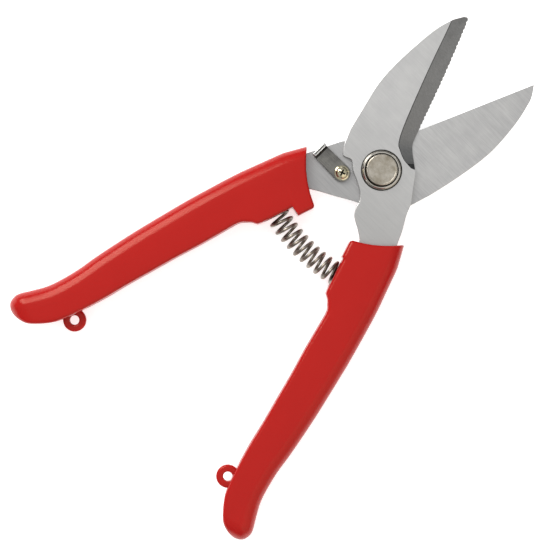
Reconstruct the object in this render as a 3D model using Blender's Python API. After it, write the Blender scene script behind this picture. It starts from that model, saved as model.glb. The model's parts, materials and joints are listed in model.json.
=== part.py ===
# Pruning shears: two crossed levers on one pivot bolt, each with a blade and a moulded grip,
# opened by a coil spring and held shut by a swinging latch.
#
# Metres, +Z up. The origin is on the pivot axis in the plane that the shears lie on, and +Y
# points midway between the blade tips. The shears stand open. Each lever is drawn as it lies
# when the shears are shut, and its empty turns it to the open position.
import math

import bmesh
import bpy
from mathutils import Vector

MM = 0.001
GAP = 0.3 * MM  # clearance between neighbouring pieces

# Overall sizes
BLADE_REACH = 58.7 * MM  # pivot to blade tip
GRIP_REACH = 131.5 * MM  # pivot to the end of a grip
OPENING = math.radians(36)  # how far the front lever turns from open to shut

# Levers
PLATE = 2.5 * MM
HEEL_Y = 5.8 * MM  # where the cutting edges start
EDGE_LAND = 0.4 * MM  # flat left at the cutting edge below the grind
SEAT_Y = -37.8 * MM  # the spring stands in each grip here
NUB_Y = -46.0 * MM  # the nub below the spring seat
TANG_EDGE = 7.7 * MM  # inner edge of a tang behind the spring pocket
TANG_COVER = 4.0 * MM  # moulding between a tang's outer edge and the grip's outer edge
TANG_RECESS = 0.8 * MM  # how far a tang's inner edge lies below the grip's inner face
MOUTH_OUTER = 16.6 * MM  # outer edge of a tang where it enters its grip
TANG_TAIL = 0.73  # where a tang ends, as a share of the way from the nub to the grip's end

# Grips
OUTER_ROUND = 5.2 * MM
INNER_ROUND = 2.2 * MM
STOP_TOP_Y = -25.4 * MM
STOP_END_Y = -31.5 * MM
FRONT_STOP_X = 1.5 * MM
REAR_STOP_X = 1.2 * MM
FRONT_FACE_DIP = 1.1 * MM  # how far the front end face of each grip is hollowed
REAR_FACE_DIP = 1.5 * MM
SEAT_X = 2.1 * MM

# Lanyard loops
LOOP_RADIUS = 4.0 * MM
LOOP_HOLE = 1.55 * MM
LOOP_THICKNESS = 2.4 * MM
LOOP_SHARE = 0.797  # how far along from the nub to the grip's end the loops sit
FRONT_LOOP_X = 1.5 * MM
REAR_LOOP_X = 1.2 * MM

# Pivot
SHANK_RADIUS = 3.0 * MM
HEAD_RADIUS = 5.2 * MM
HEAD_HEIGHT = 1.5 * MM
NUT_ACROSS = 9.0 * MM
NUT_HEIGHT = 2.4 * MM
WASHER_RADIUS = 6.0 * MM
WASHER_THICKNESS = 0.7 * MM
DISH_RADIUS = 6.9 * MM
DISH_THICKNESS = 0.9 * MM

# Latch and its screw
SCREW_X = -5.1 * MM
SCREW_Y = -12.2 * MM
SCREW_SHANK = 1.5 * MM
SCREW_HEAD = 2.4 * MM
SCREW_HEAD_HEIGHT = 1.7 * MM
LATCH_WIDTH = 5.4 * MM  # across its bent tab
LATCH_HEEL = 2.9 * MM  # rounded end about the screw, from which the strap tapers to the tab
LATCH_LENGTH = 11.2 * MM
LATCH_PLATE = 1.2 * MM
LATCH_TAB = 3.0 * MM
LATCH_WASHER_RADIUS = 2.5 * MM
LATCH_WASHER_THICKNESS = 0.4 * MM
LATCH_PARKED = math.radians(198)  # its direction on the rear lever with the shears open

# Return spring
COIL_RADIUS = 4.1 * MM
WIRE_RADIUS = 0.55 * MM
COIL_TURNS = 12.6
POCKET_CLEARANCE = 0.6 * MM

# The stack along the pivot, from the plane that the shears lie on
WASHER_Z = NUT_HEIGHT + GAP
REAR_Z = WASHER_Z + WASHER_THICKNESS + GAP
FRONT_Z = REAR_Z + PLATE + GAP
DISH_Z = FRONT_Z + PLATE + GAP
HEAD_Z = DISH_Z + DISH_THICKNESS + GAP
MID_Z = FRONT_Z - GAP / 2  # between the levers
GRIP_TOP = 2 * MID_Z
LATCH_WASHER_Z = REAR_Z + PLATE + GAP
LATCH_Z = LATCH_WASHER_Z + LATCH_WASHER_THICKNESS + GAP
SCREW_HEAD_Z = LATCH_Z + LATCH_PLATE + GAP

POCKET_RADIUS = COIL_RADIUS + POCKET_CLEARANCE
POCKET_BOTTOM = TANG_EDGE - GAP / 3  # just short of the tang, which the slot bares there
LOOP_Y = NUB_Y + (-GRIP_REACH - NUB_Y) * LOOP_SHARE


def material(name, colour, metallic, roughness):
    made = bpy.data.materials.new(name)
    made.use_nodes = True
    shader = made.node_tree.nodes["Principled BSDF"]
    shader.inputs["Base Color"].default_value = (*colour, 1)
    shader.inputs["Metallic"].default_value = metallic
    shader.inputs["Roughness"].default_value = roughness
    made.diffuse_color = (*colour, 1)
    return made


def finished(name, mesh, parent, finish=None):
    """An object from a bmesh, on its empty. Without a finish it is a cutter."""
    bmesh.ops.remove_doubles(mesh, verts=mesh.verts, dist=1e-7)
    bmesh.ops.recalc_face_normals(mesh, faces=mesh.faces)
    data = bpy.data.meshes.new(name)
    mesh.to_mesh(data)
    mesh.free()
    made = bpy.data.objects.new(name, data)
    bpy.context.scene.collection.objects.link(made)
    made.parent = parent
    if finish:
        data.materials.append(finish)
        data.shade_smooth()
        data.set_sharp_from_angle(angle=math.radians(35))
    else:
        made.hide_render = True
        made.display_type = "WIRE"
    return made


def combine(target, operation, tool):
    modifier = target.modifiers.new(tool.name, "BOOLEAN")
    modifier.operation = operation
    modifier.solver = "EXACT"
    modifier.object = tool


def empty(name, location, turn, parent=None):
    made = bpy.data.objects.new(name, None)
    bpy.context.scene.collection.objects.link(made)
    made.location = location
    made.rotation_euler.z = turn
    made.parent = parent
    return made


def smooth(points, steps):
    """Points along a smooth curve through the given ones."""
    curve = []
    padded = [points[0], *points, points[-1]]
    for before, start, end, after in zip(padded, padded[1:], padded[2:], padded[3:]):
        lead = (Vector(end) - Vector(before)) / 2
        trail = (Vector(after) - Vector(start)) / 2
        for step in range(steps):
            t = step / steps
            place = (2 * t**3 - 3 * t**2 + 1) * Vector(start)
            place += (t**3 - 2 * t**2 + t) * lead
            place += (3 * t**2 - 2 * t**3) * Vector(end)
            place += (t**3 - t**2) * trail
            curve.append(tuple(place))
    curve.append(tuple(points[-1]))
    return curve


def value_at(points, y):
    """x at a height y on a run of (x, y) points whose y falls."""
    for (x_above, y_above), (x_below, y_below) in zip(points, points[1:]):
        if y >= y_below:
            share = (y_above - y) / (y_above - y_below)
            return x_above + share * (x_below - x_above)
    return points[-1][0]


def plate(name, outline, low, high, parent, finish=None):
    mesh = bmesh.new()
    face = mesh.faces.new([mesh.verts.new((x, y, low)) for x, y in outline])
    made = bmesh.ops.extrude_face_region(mesh, geom=[face])
    raised = [item for item in made["geom"] if isinstance(item, bmesh.types.BMVert)]
    bmesh.ops.translate(mesh, verts=raised, vec=(0, 0, high - low))
    return finished(name, mesh, parent, finish)


def loft(name, loops, parent, finish=None):
    """A closed solid through loops of equally many points, with flat ends."""
    mesh = bmesh.new()
    rings = [[mesh.verts.new(point) for point in loop] for loop in loops]
    for first, second in zip(rings, rings[1:]):
        for i in range(len(first)):
            j = (i + 1) % len(first)
            mesh.faces.new((first[i], first[j], second[j], second[i]))
    mesh.faces.new(rings[0])
    mesh.faces.new(rings[-1])
    return finished(name, mesh, parent, finish)


def turned(name, profile, parent, finish=None, segments=40, centre=(0, 0)):
    """A ring or disc turned about a vertical axis from a closed (radius, z) profile."""
    mesh = bmesh.new()
    verts = [mesh.verts.new((centre[0] + radius, centre[1], z)) for radius, z in profile]
    edges = [mesh.edges.new((a, b)) for a, b in zip(verts, verts[1:] + verts[:1])]
    bmesh.ops.spin(mesh, geom=verts + edges, cent=(*centre, 0), axis=(0, 0, 1),
                   angle=math.tau, steps=segments, use_merge=True)
    return finished(name, mesh, parent, finish)


def disc(radius, low, high):
    return [(0, low), (radius, low), (radius, high), (0, high)]


def ring(inner, outer, low, high):
    return [(inner, low), (outer, low), (outer, high), (inner, high)]


def blade_point(x, share):
    """A point on a blade: x in mm, and its share of the way from the heel line to the tip."""
    return (x * MM, HEEL_Y + share * (BLADE_REACH - HEEL_Y))


def blade_curve(steps, *points):
    return smooth([blade_point(*point) for point in points], steps)


def in_mm(*points):
    return [(x * MM, y * MM) for x, y in points]


def along_grip(share):
    return NUB_Y + share * (-GRIP_REACH - NUB_Y)


# Inner and outer edge of a grip below the nub: (x in mm, share of the way to the grip's end)
INNER_RUN = [(4.65, 0.022), (5.6, 0.053), (5.3, 0.13), (4.9, 0.222), (4.7, 0.33), (4.2, 0.45),
             (3.8, 0.55), (3.2, 0.65), (3.0, 0.76), (3.3, 0.842), (3.9, 0.877), (5.3, 0.919),
             (7.2, 0.96), (9.6, 0.985), (12.2, 1.0)]
OUTER_RUN = [(20.4, 0.0), (20.0, 0.164), (19.6, 0.246), (18.4, 0.433), (16.8, 0.6),
             (15.6, 0.69), (15.1, 0.772), (15.2, 0.83), (16.2, 0.89), (17.1, 0.935),
             (17.1, 0.962), (15.9, 0.988), (14.0, 1.0)]


def grip_edges():
    """The inner edge below the nub and the whole outer edge of a grip, as (x, y) runs."""
    inner = smooth([(x * MM, along_grip(share)) for x, share in INNER_RUN], 3)
    outer = in_mm((18.3, -18.4), (19.4, -23.0), (20.0, -30.0), (20.3, -38.0))
    outer += [(x * MM, along_grip(share)) for x, share in OUTER_RUN]
    return inner, smooth(outer, 3)


INNER_EDGE, OUTER_EDGE = grip_edges()


def grip_section(inner, outer, fullness, side):
    """Loop of points across a grip, between a point on its inner and one on its outer edge."""
    across = Vector(outer) - Vector(inner)
    width = across.length
    half = GRIP_TOP / 2 * fullness
    loop = []
    for corner_round, from_inner, start in ((INNER_ROUND, True, 180), (OUTER_ROUND, False, 270),
                                            (OUTER_ROUND, False, 0), (INNER_ROUND, True, 90)):
        reach = min(corner_round, 0.48 * width, 0.98 * half)
        middle = reach if from_inner else width - reach
        height = -(half - reach) if start in (180, 270) else half - reach
        for step in range(5):
            angle = math.radians(start + 22.5 * step)
            along = middle + reach * math.cos(angle)
            place = Vector(inner) + across * (along / width)
            loop.append((side * place.x, place.y, MID_Z + height + reach * math.sin(angle)))
    return loop


def grip_stations(stop_x):
    """Pairs of points on the inner and outer edge, and how thick the grip is there."""
    seat_end = SEAT_Y - POCKET_RADIUS - 0.7 * MM
    pairs = [(stop_x, STOP_TOP_Y), (stop_x, STOP_END_Y), (SEAT_X, STOP_END_Y - 0.6 * MM),
             (SEAT_X, seat_end), (SEAT_X + 0.2 * MM, NUB_Y + 1.0 * MM), (3.7 * MM, NUB_Y - 0.4 * MM)]
    stations = []
    slant = STOP_TOP_Y - OUTER_EDGE[0][1]  # the front face runs forward towards the outer edge
    for x, y in pairs:
        lean = slant * (y - NUB_Y) / (STOP_TOP_Y - NUB_Y)
        y_outer = min(y - lean, OUTER_EDGE[0][1])
        stations.append(((x, y), (value_at(OUTER_EDGE, y_outer), y_outer), 1.0))
    for x, y in INNER_EDGE[:-1]:
        share = (y - NUB_Y) / (-GRIP_REACH - NUB_Y)
        fullness = math.sqrt(max(0.0, 1 - max(0.0, (share - 0.93) / 0.0716) ** 2))
        stations.append(((x, y), (value_at(OUTER_EDGE, y), y), fullness))
    return stations


def tang_outline(side, clearance=0.0, open_slot=False):
    """The part of a lever that its grip hides, from outer edge round the tail to inner edge."""
    tail_y = along_grip(TANG_TAIL)
    outer = [(MOUTH_OUTER + clearance, -27 * MM)]
    for share in (0.02, 0.2, 0.4, 0.6):
        y = along_grip(share)
        outer.append((value_at(OUTER_EDGE, y) - TANG_COVER + clearance, y))
    right = value_at(OUTER_EDGE, tail_y) - TANG_COVER
    left = value_at(INNER_EDGE, tail_y) + TANG_RECESS
    tail = [(right + clearance, tail_y + 4 * MM), (right - 3 * MM, tail_y - clearance),
            (left + 3 * MM, tail_y - clearance)]
    tail.append((left + 0.2 * MM - clearance, tail_y + 2.5 * MM))
    inner = []
    for share in (0.6, 0.4, 0.2, 0.1):
        y = along_grip(share)
        inner.append((value_at(INNER_EDGE, y) + TANG_RECESS - clearance, y))
    if open_slot:
        reach = -3 * MM  # past the grip's inner face
        tail[-2:] = [(left + 3 * MM, tail_y - clearance), (reach, tail_y - clearance)]
        inner = [(reach, NUB_Y - 4 * MM)]
    step = SEAT_Y - POCKET_RADIUS - 1.6 * MM
    inner.append((TANG_EDGE - clearance, step - 2.5 * MM))
    inner.append((TANG_EDGE - clearance, step))
    return [(side * x, y) for x, y in outer + tail + inner]


def grind(name, stations, face, contact, parent):
    """A long wedge that grinds a blade from its flat face down to its cutting edge."""
    loops = []
    for (edge_x, grind_x, edge_share, grind_share) in stations:
        edge = Vector((*blade_point(edge_x, edge_share), contact))
        back = Vector((*blade_point(grind_x, grind_share), face))
        slope = edge - back
        high = back - 0.3 * slope
        low = edge + 0.5 * slope
        loops.append([high, low, Vector((low.x, low.y, high.z))])
    return loft(name, loops, parent)


def front_outline():
    back = blade_curve(3, (-1.9, 0.941), (-6.0, 0.820), (-10.9, 0.595), (-14.1, 0.388),
                       (-15.1, 0.176), (-15.6, 0.032))
    back += in_mm((-15.0, 2.0), (-13.6, -1.7), (-10.4, -1.3))
    neck = smooth(in_mm((-10.4, -1.3), (-8.1, -4.7), (-5.9, -6.6), (-3.0, -9.7), (-1.8, -12.3),
                        (-1.8, -15.0), (-0.9, -17.9), (2.3, -21.4), (4.2, -23.9)), 2)[1:]
    hidden = [(5.4 * MM, -28 * MM), (TANG_EDGE, SEAT_Y + POCKET_RADIUS + 1.2 * MM)]
    tang = tang_outline(1)[::-1]
    right = smooth(in_mm((16.1, -20.0), (15.5, -15.0), (14.3, -9.6), (13.8, -5.2), (11.65, 1.3)), 3)
    edge = blade_curve(2, (9.7, 0.0), (6.6, 0.081), (5.3, 0.13), (5.0, 0.19), (4.9, 0.3),
                       (4.3, 0.588), (3.3, 0.862), (2.7, 0.985))
    tip = [blade_point(2.1, 1.0), blade_point(0.9, 0.992)]
    return back + neck + hidden + tang + right + edge + tip


def rear_outline():
    back = blade_curve(2, (-2.8, 1.0), (0.4, 0.953), (2.5, 0.902), (6.1, 0.786), (10.1, 0.612),
                       (12.2, 0.465), (13.8, 0.270), (14.7, 0.1))
    back += smooth(in_mm((14.9, 3.3), (14.0, -2.0), (11.0, -7.0), (5.5, -12.2)), 2)
    back += in_mm((0.6, -17.6), (-3.0, -21.4), (-5.4, -24.2))
    hidden = [(-5.6 * MM, -28 * MM), (-TANG_EDGE, SEAT_Y + POCKET_RADIUS + 1.2 * MM)]
    tang = tang_outline(-1)[::-1]
    left = smooth(in_mm((-16.4, -20.0), (-15.3, -11.5), (-14.2, -5.6), (-11.65, 1.3)), 3)
    edge = blade_curve(2, (-9.7, 0.0), (-8.2, 0.07), (-7.0, 0.136), (-6.3, 0.231))
    return back + hidden + tang + left + edge


def levers(front, rear, steel):
    upper = plate("front_lever", front_outline(), FRONT_Z, FRONT_Z + PLATE, front, steel)
    lower = plate("rear_lever", rear_outline(), REAR_Z, REAR_Z + PLATE, rear, steel)
    front_stations = ((10.4, 8.4, -0.01, -0.014), (8.2, 5.2, 0.042, 0.011), (6.6, 2.6, 0.081, 0.05),
                      (5.3, 0.7, 0.13, 0.1), (4.9, -0.45, 0.246, 0.246), (4.3, -1.6, 0.588, 0.588),
                      (3.3, -2.1, 0.862, 0.862), (2.6, -2.6, 1.03, 1.03))
    rear_stations = ((-10.4, -8.4, -0.01, -0.014), (-8.9, -6.0, 0.042, 0.011), (-8.0, -4.0, 0.081, 0.05),
                     (-7.0, -2.4, 0.136, 0.11), (-6.3, -0.9, 0.246, 0.246), (-4.75, 0.8, 0.588, 0.588),
                     (-3.5, 2.0, 0.862, 0.862), (-2.75, 2.6, 1.03, 1.03))
    combine(upper, "DIFFERENCE", grind("front_grind", front_stations, FRONT_Z + PLATE,
                                       FRONT_Z + EDGE_LAND, front))
    combine(lower, "DIFFERENCE", grind("rear_grind", rear_stations, REAR_Z,
                                       REAR_Z + PLATE - EDGE_LAND, rear))
    bore = disc(SHANK_RADIUS + GAP, 0, GRIP_TOP)
    combine(upper, "DIFFERENCE", turned("front_bore", bore, front))
    combine(lower, "DIFFERENCE", turned("rear_bore", bore, rear))
    screw_hole = disc(SCREW_SHANK + GAP, 0, GRIP_TOP)
    combine(lower, "DIFFERENCE", turned("screw_hole", screw_hole, rear, centre=(SCREW_X, SCREW_Y)))


def face_hollow(name, side, stop_x, dip, parent):
    """A wide upright cylinder that hollows the front end face of a grip."""
    inner = Vector((stop_x, STOP_TOP_Y))
    outer = Vector(OUTER_EDGE[0])
    chord = outer - inner
    radius = chord.length**2 / (8 * dip) + dip / 2
    forward = Vector((-chord.y, chord.x)).normalized()
    centre = (inner + outer) / 2 + forward * (radius - dip)
    return turned(name, disc(radius, -MM, GRIP_TOP + MM), parent, segments=160,
                  centre=(side * centre.x, centre.y))


def grip(name, side, parent, stop_x, dip, plate_low, loop_x, loop_low, finish):
    loops = [grip_section(inner, outer, fullness, side)
             for inner, outer, fullness in grip_stations(stop_x)]
    body = loft(name, loops, parent, finish)

    combine(body, "DIFFERENCE", face_hollow(name + "_face", side, stop_x, dip, parent))
    loop_centre = (side * loop_x, LOOP_Y)
    lug = turned(name + "_lug", disc(LOOP_RADIUS, loop_low, loop_low + LOOP_THICKNESS), parent,
                 segments=28, centre=loop_centre)
    combine(body, "UNION", lug)
    eye = turned(name + "_eye", disc(LOOP_HOLE, 0, GRIP_TOP), parent, segments=20, centre=loop_centre)
    combine(body, "DIFFERENCE", eye)

    mouth = [(MOUTH_OUTER + GAP, -14 * MM), (3.9 * MM - GAP, -14 * MM),
             (4.2 * MM - GAP, -24 * MM), (5.4 * MM - GAP, -28 * MM),
             (TANG_EDGE - GAP, SEAT_Y + POCKET_RADIUS + 1.2 * MM)]
    slot_outline = [(side * x, y) for x, y in mouth] + tang_outline(side, GAP, True)[::-1]
    slot = plate(name + "_slot", slot_outline, plate_low - GAP, plate_low + PLATE + GAP, parent)
    combine(body, "DIFFERENCE", slot)

    pocket_loops = []
    for x in (-4 * MM, POCKET_BOTTOM):
        pocket_loops.append([(side * x, SEAT_Y + POCKET_RADIUS * math.cos(math.tau * k / 32),
                              MID_Z + POCKET_RADIUS * math.sin(math.tau * k / 32)) for k in range(32)])
    combine(body, "DIFFERENCE", loft(name + "_pocket", pocket_loops, parent))
    return body


def pivot(rear, steel, bright):
    chamfer = 0.3 * MM
    head_top = HEAD_Z + HEAD_HEIGHT
    bolt = [(0, 0), (SHANK_RADIUS, 0), (SHANK_RADIUS, HEAD_Z), (HEAD_RADIUS, HEAD_Z),
            (HEAD_RADIUS, head_top - 0.5 * MM), (HEAD_RADIUS - 0.6 * MM, head_top), (0, head_top)]
    turned("pivot_bolt", bolt, rear, steel)

    bore = SHANK_RADIUS + GAP
    lip = 0.35 * MM  # how far the dish's rim stands below its middle
    dish = [(bore, DISH_Z + lip), (HEAD_RADIUS, DISH_Z + lip), (DISH_RADIUS - 0.6 * MM, DISH_Z),
            (DISH_RADIUS, DISH_Z), (DISH_RADIUS, DISH_Z + 0.3 * MM),
            (DISH_RADIUS - 0.8 * MM, DISH_Z + DISH_THICKNESS), (bore, DISH_Z + DISH_THICKNESS)]
    turned("pivot_front_washer", dish, rear, bright)
    washer = ring(bore, WASHER_RADIUS, WASHER_Z, WASHER_Z + WASHER_THICKNESS)
    turned("pivot_back_washer", washer, rear, bright)

    corner = NUT_ACROSS / math.sqrt(3)
    hexagon = [(corner * math.cos(math.radians(60 * k)), corner * math.sin(math.radians(60 * k)))
               for k in range(6)]
    nut = plate("pivot_nut", hexagon, 0, NUT_HEIGHT, rear, bright)
    combine(nut, "DIFFERENCE", turned("nut_bore", disc(bore, -MM, NUT_HEIGHT + MM), rear))
    rim = [(corner - 2 * chamfer, -MM), (corner + MM, -MM), (corner + MM, 2 * chamfer),
           (corner - 0.05 * MM, chamfer), (corner - 2 * chamfer, -0.2 * MM)]
    combine(nut, "DIFFERENCE", turned("nut_rim", rim, rear, segments=48))


def latch(latch_pivot, rear, steel, zinc):
    half = LATCH_WIDTH / 2
    heel = [(LATCH_HEEL * math.cos(math.radians(a)), LATCH_HEEL * math.sin(math.radians(a)))
            for a in range(90, 271, 15)]
    outline = heel + [(LATCH_LENGTH, -half), (LATCH_LENGTH, half)]
    strap = plate("latch", outline, LATCH_Z, LATCH_Z + LATCH_PLATE, latch_pivot, steel)
    tab_start = LATCH_LENGTH - LATCH_PLATE
    tab = [(tab_start, -half), (LATCH_LENGTH, -half), (LATCH_LENGTH, half), (tab_start, half)]
    tab_top = LATCH_Z + LATCH_PLATE + LATCH_TAB
    combine(strap, "UNION", plate("latch_tab", tab, LATCH_Z, tab_top, latch_pivot))
    hole = disc(SCREW_SHANK + GAP, 0, GRIP_TOP)
    combine(strap, "DIFFERENCE", turned("latch_hole", hole, latch_pivot, segments=24))

    centre = (SCREW_X, SCREW_Y)
    washer = ring(SCREW_SHANK + GAP, LATCH_WASHER_RADIUS, LATCH_WASHER_Z,
                  LATCH_WASHER_Z + LATCH_WASHER_THICKNESS)
    turned("latch_washer", washer, rear, steel, segments=28, centre=centre)

    top = SCREW_HEAD_Z + SCREW_HEAD_HEIGHT
    profile = [(0, REAR_Z), (SCREW_SHANK, REAR_Z), (SCREW_SHANK, SCREW_HEAD_Z), (SCREW_HEAD, SCREW_HEAD_Z),
               (SCREW_HEAD, SCREW_HEAD_Z + 0.6 * MM), (SCREW_HEAD - 0.6 * MM, top - 0.3 * MM),
               (SCREW_HEAD - 1.4 * MM, top), (0, top)]
    screw = turned("latch_screw", profile, rear, zinc, segments=28, centre=centre)
    arm = 1.4 * MM
    width = 0.35 * MM
    cross = [(arm, -width), (arm, width), (width, width), (width, arm), (-width, arm), (-width, width),
             (-arm, width), (-arm, -width), (-width, -width), (-width, -arm), (width, -arm), (width, -width)]
    recess = [(SCREW_X + x, SCREW_Y + y) for x, y in cross]
    combine(screw, "DIFFERENCE", plate("screw_recess", recess, top - 0.9 * MM, top + MM, rear))


def return_spring(steel):
    """A coil bent along an arc that meets the bottom of both spring pockets squarely."""
    half_angle = OPENING / 2
    end_x = POCKET_BOTTOM - GAP - WIRE_RADIUS
    end_reach = end_x * math.cos(half_angle) - SEAT_Y * math.sin(half_angle)
    end_height = end_x * math.sin(half_angle) + SEAT_Y * math.cos(half_angle)
    bow_radius = end_reach / math.sin(half_angle)
    bow_centre = Vector((0, end_height + bow_radius * math.cos(half_angle), MID_Z))
    steps = int(COIL_TURNS * 14)
    sides = 6
    coil = COIL_RADIUS - WIRE_RADIUS
    centres = []
    outwards = []
    for step in range(steps + 1):
        along = -math.pi / 2 + half_angle * (2 * step / steps - 1)
        turn = math.tau * COIL_TURNS * step / steps
        ray = Vector((math.cos(along), math.sin(along), 0))
        outward = ray * math.cos(turn) + Vector((0, 0, math.sin(turn)))
        centres.append(bow_centre + ray * bow_radius + outward * coil)
        outwards.append(outward)
    loops = []
    for step, centre in enumerate(centres):
        heading = (centres[min(step + 1, steps)] - centres[max(step - 1, 0)]).normalized()
        aside = heading.cross(outwards[step]).normalized()
        upright = aside.cross(heading)
        loops.append([centre + WIRE_RADIUS * (math.cos(math.tau * k / sides) * upright
                                              + math.sin(math.tau * k / sides) * aside)
                      for k in range(sides)])
    loft("return_spring", loops, None, steel)


def main():
    for old in list(bpy.data.objects):
        bpy.data.objects.remove(old)

    blade_steel = material("blade_steel", (0.55, 0.55, 0.54), 1.0, 0.38)
    bright_steel = material("bright_steel", (0.75, 0.74, 0.70), 1.0, 0.2)
    pivot_steel = material("pivot_steel", (0.52, 0.48, 0.42), 1.0, 0.35)
    latch_steel = material("latch_steel", (0.32, 0.32, 0.31), 1.0, 0.35)
    spring_steel = material("spring_steel", (0.22, 0.19, 0.16), 1.0, 0.4)
    zinc = material("zinc", (0.68, 0.64, 0.50), 1.0, 0.3)
    red_plastic = material("red_plastic", (0.52, 0.025, 0.02), 0.0, 0.3)

    front = empty("front_lever_turn", (0, 0, 0), OPENING / 2)
    rear = empty("rear_lever_turn", (0, 0, 0), -OPENING / 2)
    latch_pivot = empty("latch_turn", (SCREW_X, SCREW_Y, 0), LATCH_PARKED, rear)

    levers(front, rear, blade_steel)
    grip("front_grip", 1, front, FRONT_STOP_X, FRONT_FACE_DIP, FRONT_Z, FRONT_LOOP_X,
         MID_Z + GAP / 2, red_plastic)
    grip("rear_grip", -1, rear, -REAR_STOP_X, REAR_FACE_DIP, REAR_Z, REAR_LOOP_X,
         MID_Z - GAP / 2 - LOOP_THICKNESS, red_plastic)
    pivot(rear, pivot_steel, bright_steel)
    latch(latch_pivot, rear, latch_steel, zinc)
    return_spring(spring_steel)


main()
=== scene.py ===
import json
import math

import bmesh
import bpy
from mathutils import Matrix, Vector


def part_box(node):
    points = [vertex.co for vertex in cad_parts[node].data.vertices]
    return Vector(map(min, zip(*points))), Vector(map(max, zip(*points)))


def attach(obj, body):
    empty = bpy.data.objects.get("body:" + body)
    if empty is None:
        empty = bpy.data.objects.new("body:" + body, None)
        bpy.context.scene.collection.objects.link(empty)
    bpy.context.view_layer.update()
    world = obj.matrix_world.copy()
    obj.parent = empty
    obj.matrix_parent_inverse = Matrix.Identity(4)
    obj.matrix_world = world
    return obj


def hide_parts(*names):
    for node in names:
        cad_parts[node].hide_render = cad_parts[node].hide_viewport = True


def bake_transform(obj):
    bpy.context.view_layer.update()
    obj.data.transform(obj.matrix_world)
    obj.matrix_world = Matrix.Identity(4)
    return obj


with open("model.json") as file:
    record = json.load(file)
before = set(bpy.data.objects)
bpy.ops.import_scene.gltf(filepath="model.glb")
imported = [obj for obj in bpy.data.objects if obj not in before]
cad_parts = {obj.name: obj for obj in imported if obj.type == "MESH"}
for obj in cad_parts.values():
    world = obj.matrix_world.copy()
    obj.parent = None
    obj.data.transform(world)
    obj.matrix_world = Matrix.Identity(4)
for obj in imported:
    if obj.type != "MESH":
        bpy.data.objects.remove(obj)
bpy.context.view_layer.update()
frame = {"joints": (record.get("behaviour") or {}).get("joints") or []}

mm = 0.001
joints = {joint["name"]: joint for joint in frame["joints"]}
opening = math.radians(joints["lever_pivot"]["range_deg"][1])

# Both levers are shaped as they lie when the shears are shut, then turned by half the opening
frontTurn = opening / 2
rearTurn = -opening / 2

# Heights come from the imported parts
frontLow, frontHigh = (corner.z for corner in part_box("front_lever"))
rearLow, rearHigh = (corner.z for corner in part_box("rear_lever"))
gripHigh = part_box("front_grip")[1].z
middle = gripHigh / 2


# Colours and nodes

def hexToLinear(code):
    channels = [int(code[i:i + 2], 16) / 255 for i in (1, 3, 5)]
    return (*[c / 12.92 if c <= 0.04045 else ((c + 0.055) / 1.055) ** 2.4 for c in channels], 1)


def addNode(tree, kind, settings, wires):
    node = tree.nodes.new(kind)
    for name, value in settings.items():
        setattr(node, name, value)
    for name, value in wires.items():
        if isinstance(value, bpy.types.NodeSocket):
            tree.links.new(value, node.inputs[name])
        else:
            node.inputs[name].default_value = value
    return node


def newMaterial(name, colour, metallic, roughness):
    made = bpy.data.materials.new(name)
    made.use_nodes = True
    shader = made.node_tree.nodes["Principled BSDF"]
    shader.inputs["Base Color"].default_value = hexToLinear(colour)
    shader.inputs["Metallic"].default_value = metallic
    shader.inputs["Roughness"].default_value = roughness
    made.diffuse_color = hexToLinear(colour)
    return made, made.node_tree, shader


def mouldedRed(name, look):
    # Polypropylene moulded in a polished tool: an even saturated red with a clear gloss. The
    # colour drifts a little where the melt flowed, and the skin has a very faint orange peel.
    made, tree, shader = newMaterial(name, look["colour"], 0, look["roughness"])
    shader.inputs["IOR"].default_value = look["ior"]
    shader.inputs["Specular Tint"].default_value = hexToLinear(look["glossTint"])
    where = addNode(tree, "ShaderNodeTexCoord", {}, {})
    flow = addNode(tree, "ShaderNodeTexNoise", {}, {
        "Vector": where.outputs["Object"], "Scale": 1 / look["flowSize"], "Detail": 3.0, "Roughness": 0.55})
    tint = addNode(tree, "ShaderNodeMixRGB", {}, {
        "Fac": flow.outputs["Fac"], "Color1": hexToLinear(look["colour"]), "Color2": hexToLinear(look["flowColour"])})
    peel = addNode(tree, "ShaderNodeTexNoise", {}, {
        "Vector": where.outputs["Object"], "Scale": 1 / look["peelSize"], "Detail": 1.0})
    rub = addNode(tree, "ShaderNodeTexNoise", {}, {
        "Vector": where.outputs["Object"], "Scale": 1 / look["rubSize"], "Detail": 4.0, "Roughness": 0.6})
    gloss = addNode(tree, "ShaderNodeMapRange", {}, {
        "Value": rub.outputs["Fac"], "From Min": 0.35, "From Max": 0.65,
        "To Min": look["roughness"] - 0.03, "To Max": look["roughness"] + 0.05})
    bump = addNode(tree, "ShaderNodeBump", {}, {
        "Height": peel.outputs["Fac"], "Distance": look["peelDepth"], "Strength": 0.5})
    tree.links.new(tint.outputs["Color"], shader.inputs["Base Color"])
    tree.links.new(gloss.outputs["Result"], shader.inputs["Roughness"])
    tree.links.new(bump.outputs["Normal"], shader.inputs["Normal"])
    return made


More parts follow.
